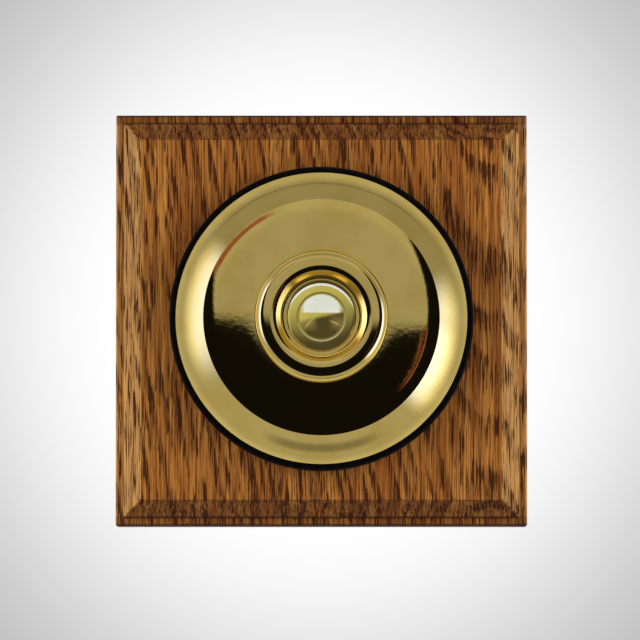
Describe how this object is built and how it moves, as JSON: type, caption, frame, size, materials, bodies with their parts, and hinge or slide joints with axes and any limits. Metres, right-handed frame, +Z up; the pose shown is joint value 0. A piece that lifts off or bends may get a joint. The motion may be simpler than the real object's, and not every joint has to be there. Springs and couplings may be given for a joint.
{
  "type": "push button light switch",
  "caption": "Square bevelled oak wall plate with a black base, a round polished brass dome and a recessed sprung push button in a turned bush, for switching a light.",
  "frame": {"origin": "on the button's axis, at the back face of the oak plate, midway between the wall screw holes", "axes": "+X to the right, +Y into the wall (the button faces -Y), +Z up the wall"},
  "size_m": [0.092, 0.031, 0.092],
  "materials": {
    "oak": "stained oak, waxed, grain up the wall",
    "black_moulding": "moulded, semi-gloss",
    "brown_moulding": "moulded, matt",
    "polished_brass": "polished and lacquered",
    "terminal_brass": "as machined",
    "zinc_steel": "zinc plated",
    "spring_steel": "drawn wire",
    "copper": "rolled copper",
    "silver": "satin"
  },
  "bodies": {
    "wall_unit": {"oak_plate": "oak", "mounting_base": "black_moulding", "base_screws": "zinc_steel", "dome_cover": "polished_brass", "retaining_ring": "polished_brass", "button_bush": "polished_brass", "cover_plate": "zinc_steel", "cover_screws": "zinc_steel", "plunger_guide": "brown_moulding", "return_spring": "spring_steel", "fixed_contact_tips": "silver", "line_terminal": "terminal_brass", "load_terminal": "terminal_brass", "terminal_screws": "zinc_steel", "earth_terminal": "terminal_brass", "earth_screw": "zinc_steel"},
    "button": {"push_button": "polished_brass", "plunger": "brown_moulding", "stem_clip": "spring_steel", "contact_spring": "spring_steel"},
    "bridge": {"contact_bridge": "copper", "moving_contact_tips": "silver"}
  },
  "joints": [
    {"name": "button_press", "type": "slide", "parent": "wall_unit", "child": "button", "axis": [0, 1, 0], "range_m": [0, 0.003], "stiffness_N_per_m": 600, "springref_m": -0.003, "deforming": ["return_spring", "contact_spring"]},
    {"name": "bridge_follow", "type": "slide", "parent": "wall_unit", "child": "bridge", "axis": [0, 1, 0], "range_m": [0, 0.002]}
  ],
  "couplings": [
    {"joint": "bridge_follow", "follows": "button_press", "ratio": 0.6666}
  ]
}
